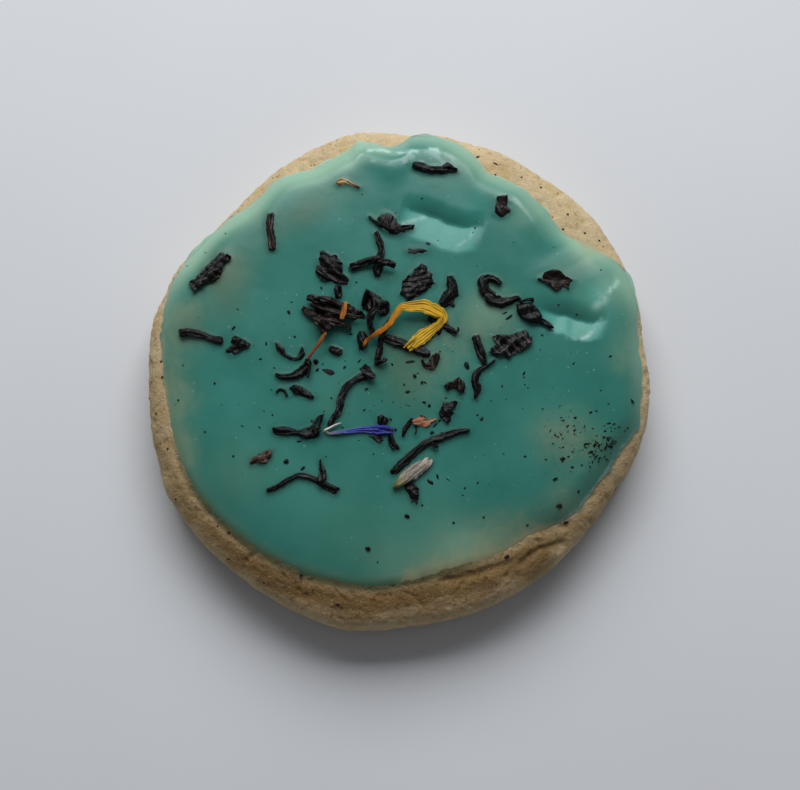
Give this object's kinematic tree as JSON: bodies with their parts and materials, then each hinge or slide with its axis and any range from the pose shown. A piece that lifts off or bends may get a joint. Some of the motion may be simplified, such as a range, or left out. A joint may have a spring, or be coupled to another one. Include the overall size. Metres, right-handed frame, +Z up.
{
  "type": "iced sugar cookie",
  "caption": "Round soft-baked sugar cookie with a poured teal icing, strewn with dried black tea leaves and a few flower petals.",
  "frame": {"origin": "under the middle of the cookie, on the plane of its flat underside", "axes": "+Z up through the cookie's thickness, +Y to its back, +X to its right as it is shown"},
  "size_m": [0.072, 0.0716, 0.0153],
  "materials": {
    "biscuit": "baked sandy crumb, pale buff, browner round the side",
    "icing": "smooth satin-gloss teal sugar icing, faintly translucent, paler where it is thin",
    "black_tea": "dry wrinkled leaf, nearly black, slight sheen",
    "brown_tea": "dry wrinkled leaf, red-brown",
    "yellow_petal": "dried veined petal, golden yellow to orange at its narrow end",
    "orange_flower": "dried stamen and petal scraps, orange to dark red",
    "blue_petal": "dried petal, deep blue, pale at its narrow end",
    "straw_flower": "dried papery husk, straw with brown ribs"
  },
  "bodies": {
    "root": {"biscuit": "biscuit", "icing": "icing", "tea_leaf_01": "black_tea", "tea_leaf_02": "black_tea", "tea_leaf_03": "black_tea", "tea_leaf_04": "black_tea", "tea_leaf_05": "black_tea", "tea_leaf_06": "brown_tea", "tea_leaf_07": "brown_tea", "tea_leaf_08": "black_tea", "tea_leaf_09": "black_tea", "tea_leaf_10": "brown_tea", "tea_leaf_11": "black_tea", "tea_leaf_12": "black_tea", "tea_leaf_13": "black_tea", "tea_leaf_14": "black_tea", "tea_leaf_15": "black_tea", "tea_leaf_16": "black_tea", "tea_leaf_17": "black_tea", "tea_leaf_18": "black_tea", "tea_leaf_19": "black_tea", "tea_leaf_20": "black_tea", "tea_leaf_21": "black_tea", "tea_leaf_22": "black_tea", "tea_leaf_23": "black_tea", "tea_leaf_24": "black_tea", "tea_leaf_25": "brown_tea", "tea_leaf_26": "black_tea", "tea_leaf_27": "black_tea", "tea_leaf_28": "black_tea", "tea_leaf_29": "brown_tea", "tea_leaf_30": "black_tea", "tea_leaf_31": "brown_tea", "tea_leaf_32": "black_tea", "tea_leaf_33": "black_tea", "tea_leaf_34": "black_tea", "tea_leaf_35": "black_tea", "tea_leaf_36": "brown_tea", "tea_leaf_37": "black_tea", "tea_leaf_38": "black_tea", "tea_leaf_39": "black_tea", "tea_leaf_40": "black_tea", "tea_leaf_41": "black_tea", "tea_leaf_42": "black_tea", "golden_bract": "straw_flower", "orange_stamen": "orange_flower", "orange_petal_stub": "orange_flower", "orange_fragment": "orange_flower", "yellow_petal": "yellow_petal", "blue_petal": "blue_petal", "straw_husk": "straw_flower"}
  },
  "joints": []
}
